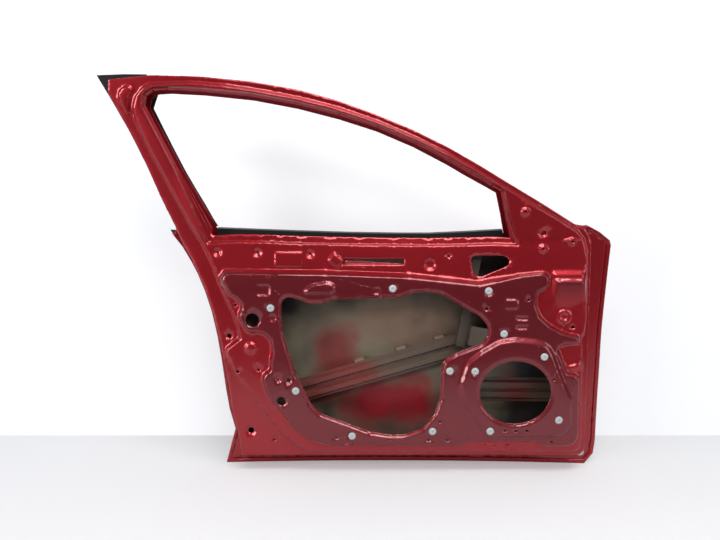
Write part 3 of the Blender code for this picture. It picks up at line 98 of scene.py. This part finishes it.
def linear(colour):
    """An sRGB hex colour as linear red, green, blue and one for alpha."""
    parts = [int(colour[i:i + 2], 16) / 255 for i in (1, 3, 5)]
    return [c / 12.92 if c <= 0.04045 else ((c + 0.055) / 1.055) ** 2.4 for c in parts] + [1.0]


def add(tree, kind, sockets=None, **settings):
    """A new node with its settings; each socket gets a value or a link from another node."""
    made = tree.nodes.new(kind)
    for name, value in settings.items():
        setattr(made, name, value)
    for name, value in (sockets or {}).items():
        if isinstance(value, bpy.types.NodeSocket):
            tree.links.new(value, made.inputs[name])
        else:
            made.inputs[name].default_value = value
    return made


def maths(tree, operation, first, second):
    """What one sum makes of two values."""
    return add(tree, "ShaderNodeMath", {0: first, 1: second}, operation=operation).outputs[0]


def ramp(tree, value, start, end, low=0.0, high=1.0, shape="LINEAR"):
    """A value that goes from low to high as another goes from start to end."""
    return add(tree, "ShaderNodeMapRange",
               {"Value": value, "From Min": start, "From Max": end, "To Min": low, "To Max": high},
               interpolation_type=shape).outputs["Result"]


def mix(tree, share, first, second):
    """Two colours mixed by a share; each is a hex colour or a link from another node."""
    first, second = (linear(c) if isinstance(c, str) else c for c in (first, second))
    return add(tree, "ShaderNodeMix", {"Factor": share, 6: first, 7: second},
               data_type="RGBA").outputs[2]


def axis(tree, place, name):
    """One axis of a place."""
    return add(tree, "ShaderNodeSeparateXYZ", {"Vector": place}).outputs[name]


def new_finish(name):
    """A new material: itself, its nodes, its shader and the place on the piece, in metres."""
    made = bpy.data.materials.new(name)
    made.use_nodes = True
    tree = made.node_tree
    place = add(tree, "ShaderNodeTexCoord").outputs["Object"]
    return made, tree, tree.nodes["Principled BSDF"], place


def new_object(name, mesh):
    """An object of a mesh at the origin."""
    made = bpy.data.objects.new(name, mesh)
    bpy.context.scene.collection.objects.link(made)
    return made


def stage_paint(name, colour, shown, mirrored):
    """Matt paint, pale around the door and darkened further to the front by painted shade, and clear
    from its back.
    """
    made, tree, shader, place = new_finish(name)
    far = ramp(tree, axis(tree, place, "Y"), PALE_TO, DARK_FROM, shape="SMOOTHSTEP")
    tree.links.new(mix(tree, far, colour, FAR_SHADE_COLOUR), shader.inputs["Base Color"])
    rays = add(tree, "ShaderNodeLightPath").outputs
    direct = maths(tree, "MAXIMUM", rays["Is Camera Ray"], rays["Is Transmission Ray"])
    glow = maths(tree, "ADD", maths(tree, "MULTIPLY", direct, shown),
                 maths(tree, "MULTIPLY", rays["Is Glossy Ray"], mirrored))
    tree.links.new(glow, shader.inputs["Emission Strength"])
    shader.inputs["Emission Color"].default_value = linear(GLOW_COLOUR)
    shader.inputs["Roughness"].default_value = STAGE_ROUGHNESS
    side = add(tree, "ShaderNodeNewGeometry")
    clear = add(tree, "ShaderNodeBsdfTransparent")
    sheet = add(tree, "ShaderNodeMixShader", {0: side.outputs["Backfacing"], 1: shader.outputs[0],
                                              2: clear.outputs[0]})
    tree.links.new(sheet.outputs[0], tree.nodes["Material Output"].inputs["Surface"])
    return made


low, high = cad_box
middle = (low[0] + high[0]) / 2
for name, colour, shown, mirrored in STAGE:
    plane = bmesh.new()
    bmesh.ops.create_grid(plane, x_segments=1, y_segments=1, size=STAGE_SIZE / 2)
    for vert in plane.verts:
        across, along = vert.co.x + middle, vert.co.y
        if name == "floor":
            vert.co = (across, along, low[2] - FLOOR_DROP)
        else:
            vert.co = (across, high[1] + WALL_DISTANCE, along)
    mesh = bpy.data.meshes.new(name)
    plane.to_mesh(mesh)
    plane.free()
    mesh.materials.append(stage_paint(name + "_paint", colour, shown, mirrored))
    new_object(name, mesh)

# Light: a large soft lamp overhead, another high up behind the camera, a strong one at the left and
# a faint one at the right, in a room that is brighter towards its ceiling.
SKY_COLOUR = "#eef1f4"
SKY_SPAN = (0.05, 0.95)
SKY_LOW = 0.09
SKY_HIGH = 0.42
# Each lamp has a name, the share of the door's length that it is set out from, how far it is from
# there in X, its Y, its height above the door, its two sizes and its power in watts.
LAMPS = (("ceiling", 0.5, 0.5, -1.50, 1.40, (2.2, 0.7), 44.0),
         ("front", 0.5, 0.3, -3.10, 1.15, (2.2, 0.8), 42.0),
         ("left_side", 0.0, -2.1, -2.30, -0.2, (1.2, 1.6), 54.0),
         ("right_side", 1.0, 2.2, -2.30, -0.2, (1.2, 1.6), 14.0))

for name, share, beyond, front, above, size, power in LAMPS:
    lamp = bpy.data.lights.new(name, "AREA")
    lamp.shape = "RECTANGLE"
    lamp.size, lamp.size_y = size
    lamp.energy = power
    made = bpy.data.objects.new(name, lamp)
    made.location = (low[0] + share * (high[0] - low[0]) + beyond, front, high[2] + above)
    towards = Vector((middle, 0.0, 0.0)) - made.location
    made.rotation_euler = towards.to_track_quat("-Z", "Y").to_euler()
    bpy.context.scene.collection.objects.link(made)

world = bpy.data.worlds.new("studio")
world.use_nodes = True
tree = world.node_tree
way = add(tree, "ShaderNodeTexCoord").outputs["Generated"]
level = ramp(tree, axis(tree, way, "Z"), *SKY_SPAN, SKY_LOW, SKY_HIGH)
seen = add(tree, "ShaderNodeLightPath").outputs["Is Camera Ray"]
back = tree.nodes["Background"]
back.inputs["Color"].default_value = linear(SKY_COLOUR)
tree.links.new(maths(tree, "MAXIMUM", level, seen), back.inputs["Strength"])
bpy.context.scene.world = world
bpy.context.scene.view_settings.view_transform = "Standard"

# Inner panel: one sheet of deep-drawn mild steel, dipped in primer and sprayed metallic red under
# clear coat. Every drawn edge is round and carries a thin highlight. The raised face is painted a
# dull plum below the sill, a painted reflection of the dim room in front of it.
SHEET = 0.0010
MERGE = SHEET / 1000
SLIVER = SHEET / 10
FOLD_EDGE = 0.0075
FLAT_EDGE = 0.026
PANEL_SPLITS = 5
PANEL_SOFTENINGS = 2
FOLD_ANGLE = math.radians(16)
RIM_ANGLE = math.radians(100)
FLAT_ANGLE = math.radians(1.5)
SHARP_ANGLE = math.radians(36)
SILL_HEIGHT = 0.114
SILL_BAND = 0.022
RAISED_FACE = (-0.651, -0.058, -0.0055)
RED = "#8e0917"
RED_FLAKE = "#a81020"
# Painted reflection: the raised face below the sill is mixed towards this plum, by up to this share.
PAINTED_REFLECTION_PLUM = "#651b24"
PAINTED_REFLECTION_SHARE = 0.75
PAINTED_REFLECTION_DEPTHS = (-0.046, -0.057)
PAINTED_REFLECTION_HEIGHTS = (0.078, 0.062)
FLAKES_PER_METRE = 900.0
CLOUDS_PER_METRE = 5.0
PEEL_PER_METRE = 260.0
PEEL_DEPTH = 0.0004
PEEL_STRENGTH = 0.10
PAINT_ROUGHNESS = (0.30, 0.42)
PAINT_METALLIC = 0.7
COAT_ROUGHNESS = 0.06


def beside(face):
    """The faces that share an edge with a face."""
    return {other for edge in face.edges for other in edge.link_faces} - {face}


def one_side(node, seed):
    """One side of a CAD sheet: the faces joined to the one nearest a seed, but not over the rim.

    Behind a face of either side lies the other side at once; behind a face of the rim, only metal.
    """
    sheet = bmesh.new()
    sheet.from_mesh(node.data)
    bmesh.ops.remove_doubles(sheet, verts=sheet.verts, dist=MERGE)
    sheet.normal_update()
    sheet.faces.ensure_lookup_table()
    solid = BVHTree.FromBMesh(sheet)
    behind = {}
    for face in sheet.faces:
        inside = face.calc_center_median() - face.normal * (SHEET / 50)
        met = solid.ray_cast(inside, -face.normal, 2 * SHEET)[2]
        if met is not None:
            behind[face] = sheet.faces[met]
    start = min(behind, key=lambda face: (face.calc_center_median() - Vector(seed)).length)
    kept, fringe = {start}, deque([start])
    while fringe:
        face = fringe.popleft()
        for other in sorted(beside(face) - kept, key=lambda near: near.index):
            bend = face.normal.angle(other.normal, 0.0)
            if other in behind and behind[other] not in kept and bend < RIM_ANGLE:
                kept.add(other)
                fringe.append(other)
    bmesh.ops.delete(sheet, geom=[face for face in sheet.faces if face not in kept], context="FACES")
    return sheet


def cut_to_triangles(sheet):
    """Cuts the faces with more than three corners."""
    bmesh.ops.triangulate(sheet, faces=[face for face in sheet.faces if len(face.verts) > 3])


def refine(sheet, fine, coarse, splits):
    """Splits edges down to a fine length at the folds and a coarse one where the sheet is flat."""
    for _ in range(splits):
        bends = [edge for edge in sheet.edges if len(edge.link_faces) == 2]
        folded = {vert for edge in bends if edge.calc_face_angle() > FOLD_ANGLE
                  for vert in edge.verts}
        folded |= {edge.other_vert(vert) for vert in folded for edge in vert.link_edges
                   if edge.other_vert(vert).is_boundary and edge.calc_length() < 3 * fine}
        long_edges = [edge for edge in sheet.edges
                      if edge.calc_length() > (fine if folded & set(edge.verts) else coarse)]
        if not long_edges:
            break
        bmesh.ops.subdivide_edges(sheet, edges=long_edges, cuts=1)
        cut_to_triangles(sheet)
        flat = [edge for edge in sheet.edges
                if len(edge.link_faces) == 2 and edge.calc_face_angle() < FLAT_ANGLE]
        bmesh.ops.beautify_fill(sheet, faces=sheet.faces, edges=flat, method="ANGLE")
    bmesh.ops.dissolve_degenerate(sheet, dist=SLIVER, edges=sheet.edges)
    cut_to_triangles(sheet)
    loose = [vert for vert in sheet.verts if not vert.link_faces]
    bmesh.ops.delete(sheet, geom=loose, context="VERTS")


def near_sill(sheet):
    """A test for whether a point lies in the band under the sheet's rim along the window's sill."""
    rim = [vert.co.copy() for vert in sheet.verts
           if vert.is_boundary and SILL_HEIGHT < vert.co.z < SILL_HEIGHT + SILL_BAND]
    places = KDTree(len(rim))
    for index, place in enumerate(rim):
        places.insert(place, index)
    places.balance()
    return lambda vert: places.find(vert.co)[2] < SILL_BAND


def soften(sheet, repeats, keep=lambda vert: False):
    """Rounds a sheet's folds by evening out its inner points, apart from those to keep."""
    free = [vert for vert in sheet.verts if not vert.is_boundary and not keep(vert)]
    for _ in range(repeats):
        bmesh.ops.smooth_vert(sheet, verts=free, factor=0.5, use_axis_x=True, use_axis_y=True,
                              use_axis_z=True)


def noise(tree, place, per_metre, detail=2.0):
    """Soft noise with about so many cells to the metre."""
    return add(tree, "ShaderNodeTexNoise", {"Vector": place, "Scale": per_metre,
                                            "Detail": detail}).outputs["Fac"]


def metallic_paint(name):
    """Metallic enamel under clear coat: fine flakes, faint orange peel, glossy top, painted plum
    reflection.
    """
    made, tree, shader, place = new_finish(name)
    enamel = mix(tree, noise(tree, place, FLAKES_PER_METRE), RED, RED_FLAKE)
    # Painted reflection: plum on the raised face below the sill, for the dim room that it reflects.
    raised = ramp(tree, axis(tree, place, "Y"), *PAINTED_REFLECTION_DEPTHS, shape="SMOOTHSTEP")
    below = ramp(tree, axis(tree, place, "Z"), *PAINTED_REFLECTION_HEIGHTS, high=PAINTED_REFLECTION_SHARE)
    with_painted_reflection = mix(tree, maths(tree, "MULTIPLY", raised, below), enamel, PAINTED_REFLECTION_PLUM)
    tree.links.new(with_painted_reflection, shader.inputs["Base Color"])
    clouds = noise(tree, place, CLOUDS_PER_METRE, 3.0)
    tree.links.new(ramp(tree, clouds, 0.0, 1.0, *PAINT_ROUGHNESS), shader.inputs["Roughness"])
    peel = add(tree, "ShaderNodeBump", {"Height": noise(tree, place, PEEL_PER_METRE, 1.0),
                                        "Strength": PEEL_STRENGTH, "Distance": PEEL_DEPTH})
    tree.links.new(peel.outputs["Normal"], shader.inputs["Coat Normal"])
    shader.inputs["Metallic"].default_value = PAINT_METALLIC
    shader.inputs["Coat Weight"].default_value = 1.0
    shader.inputs["Coat Roughness"].default_value = COAT_ROUGHNESS
    return made


def panel_piece(name, node_name, sheet, *finishes):
    """A finished side as a sheet that stands for its CAD node; the last finish is for its back."""
    mesh = bpy.data.meshes.new(name)
    sheet.to_mesh(mesh)
    sheet.free()
    mesh.shade_smooth()
    mesh.set_sharp_from_angle(angle=SHARP_ANGLE)
    for finish in finishes:
        mesh.materials.append(finish)
    made = new_object(name, mesh)
    solid = made.modifiers.new("sheet", "SOLIDIFY")
    solid.thickness = SHEET
    solid.offset = -1.0
    solid.use_even_offset = False
    solid.material_offset = len(finishes) - 1
    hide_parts(node_name)
    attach(made, "root")


paint = metallic_paint("clear_coated_metallic_enamel")
stamped = one_side(nodes["inner_panel"], RAISED_FACE)
refine(stamped, FOLD_EDGE, FLAT_EDGE, PANEL_SPLITS)
soften(stamped, PANEL_SOFTENINGS, near_sill(stamped))
panel_piece("inner_panel_stamping", "inner_panel", stamped, paint)

# Outer skin: the same sheet steel, drawn shallow and hemmed over the panel. Outside it has the full
# paint. Inside it keeps its olive primer, with soft clouds of red overspray that came in through
# the openings, and painted shade round them for the dark depth of the cavity.
SKIN_EDGE = 0.016
SKIN_SPLITS = 6
SKIN_SOFTENINGS = 24
SKIN_CROWN = 0.6
HEM_ANGLE = math.radians(40)
SKIN_OUTSIDE = (-0.6, 0.10, -0.2)
OVERSPRAY = "#7e101b"
# Painted shade: the dark colour of the cavity's shaded depth, outside the unshaded spots.
CAVITY_SHADE = "#1f1a17"
PRIMER_METALLIC = 0.1
PRIMER_ROUGHNESS = 0.42
GRIME_PER_METRE = 14.0
RAGGED_PER_METRE = 9.0
RAGGED_SPAN = (0.3, 0.7)
RAGGED = 0.35
SPOT_SPAN = (1.35, 0.35)
THROUGH = 1e3
# A spot has its middle in X and Z, its half width and half height, and how much it covers.
SKIN_SPOTS = ((-0.700, -0.225, 0.085, 0.095, 0.80), (-0.560, -0.375, 0.190, 0.085, 1.0),
              (-0.480, -0.330, 0.070, 0.060, 0.75), (-0.500, -0.140, 0.220, 0.100, 0.22),
              (-0.740, -0.350, 0.070, 0.050, 0.60), (-0.180, -0.300, 0.050, 0.050, 0.45))
# Spots where the skin is seen lit; outside them it gets painted shade.
UNSHADED_SPOTS = ((-0.580, -0.220, 0.330, 0.260, 1.0), (-0.240, -0.300, 0.075, 0.100, 1.0))


def cloud_mask(tree, place, spots):
    """Where soft ragged spots lie, and how much they cover."""
    edge = ramp(tree, noise(tree, place, RAGGED_PER_METRE, 2.5), *RAGGED_SPAN, -RAGGED, RAGGED)
    cover = None
    for x, z, wide, high, amount in spots:
        local = add(tree, "ShaderNodeMapping", {"Vector": place, "Location": (x, 0.0, z),
                                                "Scale": (wide, THROUGH, high)},
                    vector_type="TEXTURE")
        reach = add(tree, "ShaderNodeVectorMath", {0: local.outputs["Vector"]}, operation="LENGTH")
        ragged = maths(tree, "ADD", reach.outputs["Value"], edge)
        spot = ramp(tree, ragged, *SPOT_SPAN, high=amount, shape="SMOOTHSTEP")
        cover = spot if cover is None else maths(tree, "MAXIMUM", cover, spot)
    return cover


def primer(name, colour, dark, overspray, unshaded=(), roughness=PRIMER_ROUGHNESS):
    """Electro-dipped primer, uneven, with spots of overspray in the body colour.

    Painted shade darkens it outside the unshaded spots, for the depth of the cavity. Without any of
    those there is no painted shade.
    """
    made, tree, shader, place = new_finish(name)
    ground = mix(tree, noise(tree, place, GRIME_PER_METRE, 5.0), dark, colour)
    shown = mix(tree, cloud_mask(tree, place, overspray), ground, OVERSPRAY)
    if unshaded:
        # Painted shade outside the unshaded spots.
        shown = mix(tree, cloud_mask(tree, place, unshaded), CAVITY_SHADE, shown)
    tree.links.new(shown, shader.inputs["Base Color"])
    shader.inputs["Roughness"].default_value = roughness
    shader.inputs["Metallic"].default_value = PRIMER_METALLIC
    return made


def fixed_on_skin(vert):
    """Whether a point of the skin is on its hem or beside its rim, and not on its crown."""
    return (vert.normal.y < SKIN_CROWN
            or any(edge.other_vert(vert).is_boundary for edge in vert.link_edges)
            or any(edge.calc_face_angle(0.0) > HEM_ANGLE for edge in vert.link_edges))


skin_primer = primer("dipped_primer_with_overspray_and_painted_shade", "#857c68", "#6c6252", SKIN_SPOTS, UNSHADED_SPOTS)
skin = one_side(nodes["outer_skin"], SKIN_OUTSIDE)
refine(skin, SKIN_EDGE / 2, SKIN_EDGE, SKIN_SPLITS)
soften(skin, SKIN_SOFTENINGS, fixed_on_skin)
panel_piece("outer_skin_pressing", "outer_skin", skin, paint, skin_primer)

# Outer half of the window frame: a thin pressing, spot-welded to the panel's frame before painting,
# so it has the same paint on both of its sides.
FRAME_SPLITS = 5
FRAME_SOFTENINGS = 1
FRAME_HEADER = (-0.6, 0.0, 0.4)

half = one_side(nodes["window_frame_outer"], FRAME_HEADER)
refine(half, SKIN_EDGE / 2, SKIN_EDGE, FRAME_SPLITS)
soften(half, FRAME_SOFTENINGS)
panel_piece("window_frame_pressing", "window_frame_outer", half, paint)

# Glass channel, inner belt stiffener and the plates behind hinges, check strap, latch and mirror:
# steel that was rolled or pressed, then welded to the panel before painting. They keep their shapes
# and get the body's paint.


def finish_nodes(names, finish):
    """CAD nodes that keep their own shapes get their finish."""
    for name in names:
        nodes[name].material_slots[0].material = finish


finish_nodes(("glass_channel", "belt_reinforcement_inner", "hinge_reinforcement_upper",
              "hinge_reinforcement_lower", "check_strap_reinforcement", "latch_reinforcement",
              "mirror_reinforcement"), paint)

# Beam and skin stiffeners: ribbed pressings of high-strength steel between the panel and the skin,
# in primer that is glossier than the skin's, with overspray where the openings let it in.
BEAM_ROUGHNESS = 0.3
BEAM_SPOT = (-0.700, -0.300, 0.160, 0.120, 0.55)
SPEAKER_SPOT = (-0.180, -0.330, 0.060, 0.060, 0.6)

beam_primer = primer("dipped_primer_on_pressings", "#64564a", "#4c4038",
                     (BEAM_SPOT, SPEAKER_SPOT), roughness=BEAM_ROUGHNESS)
finish_nodes(("impact_beam", "lower_stiffener", "handle_reinforcement"), beam_primer)

# Brackets, lower glass channels and the skin's top stiffener: pressed or rolled steel, welded or
# bolted in, in a darker brown primer.
dark_primer = primer("darker_primer_on_brackets", "#54483e", "#3a322b", (SPEAKER_SPOT,))
finish_nodes(("beam_bracket_front", "beam_bracket_rear", "belt_reinforcement_outer",
              "front_glass_channel", "rear_glass_channel", "front_channel_bracket",
              "rear_channel_bracket", "front_channel_foot"), dark_primer)

# Black trims: a moulding along the header, a cover plate on the pillar and a moulding on the belt,
# in satin black plastic, clipped on after painting.
TRIM_ROUGHNESS = 0.42
GRAIN_PER_METRE = 700.0
GRAIN_DEPTH = 0.0003
GRAIN_STRENGTH = 0.2


def plastic(name, colour, roughness):
    """Moulded plastic with a fine grain."""
    made, tree, shader, place = new_finish(name)
    grain = add(tree, "ShaderNodeBump", {"Height": noise(tree, place, GRAIN_PER_METRE),
                                         "Strength": GRAIN_STRENGTH, "Distance": GRAIN_DEPTH})
    tree.links.new(grain.outputs["Normal"], shader.inputs["Normal"])
    shader.inputs["Base Color"].default_value = linear(colour)
    shader.inputs["Roughness"].default_value = roughness
    return made


black = plastic("moulded_black_trim", "#121214", TRIM_ROUGHNESS)
finish_nodes(("roof_trim", "pillar_trim", "belt_moulding"), black)

# Plugs: nylon grommets that the trim panel's screws bite into, moulded in one piece and pushed into
# the panel's holes. Each has a crowned head with a screw hole and a tapered shank.
NYLON_ROUGHNESS = 0.45
PLUG_SIDES = 40
PLUG_HEAD = 0.0040
PLUG_SHARP_ANGLE = math.radians(40)
# Radii of the head, each with its height over the seat, from the screw hole's floor to the shank.
HEAD_PROFILE = ((0.0, 0.0016), (0.0017, 0.0016), (0.0020, 0.0033), (0.0026, 0.0038),
                (0.0050, 0.0039), (0.0076, 0.0034), (0.0092, 0.0024), (0.0102, 0.0012),
                (0.0105, 0.0004), (0.0103, 0.0001), (0.0042, 0.0001))
# Radii of the shank, each with its share of the shank's length.
SHANK_PROFILE = ((0.0040, 0.6), (0.0028, 0.97), (0.0, 0.97))

nylon = plastic("moulded_nylon", "#a9afb0", NYLON_ROUGHNESS)
for node_name in sorted(nodes):
    if not node_name.startswith("trim_plug") and node_name != "drain_plug":
        continue
    low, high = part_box(node_name)
    seat = low[1] + PLUG_HEAD
    shank = high[1] - seat
    turned = bmesh.new()
    rim = [turned.verts.new((radius, -height, 0.0)) for radius, height in HEAD_PROFILE]
    rim += [turned.verts.new((radius, share * shank, 0.0)) for radius, share in SHANK_PROFILE]
    outline = [turned.edges.new(pair) for pair in zip(rim, rim[1:])]
    bmesh.ops.spin(turned, geom=rim + outline, cent=(0.0, 0.0, 0.0), axis=(0.0, 1.0, 0.0),
                   angle=2 * math.pi, steps=PLUG_SIDES, use_merge=True)
    bmesh.ops.remove_doubles(turned, verts=turned.verts, dist=PLUG_HEAD / 1000)
    bmesh.ops.recalc_face_normals(turned, faces=turned.faces)
    bmesh.ops.translate(turned, verts=turned.verts,
                        vec=((low[0] + high[0]) / 2, seat, (low[2] + high[2]) / 2))
    mesh = bpy.data.meshes.new(node_name + "_head")
    turned.to_mesh(mesh)
    turned.free()
    mesh.shade_smooth()
    mesh.set_sharp_from_angle(angle=PLUG_SHARP_ANGLE)
    mesh.materials.append(nylon)
    made = new_object(node_name + "_grommet", mesh)
    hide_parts(node_name)
    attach(made, "root")

# Mastic pads: expanded sealer between the beam and the skin, laid as beads and baked with the
# paint, so that the skin doesn't drum. Matt and slightly rough.
MASTIC_ROUGHNESS = 0.85

mastic = plastic("expanded_mastic", "#75604f", MASTIC_ROUGHNESS)
finish_nodes([name for name in sorted(nodes) if name.startswith("mastic_pad")], mastic)
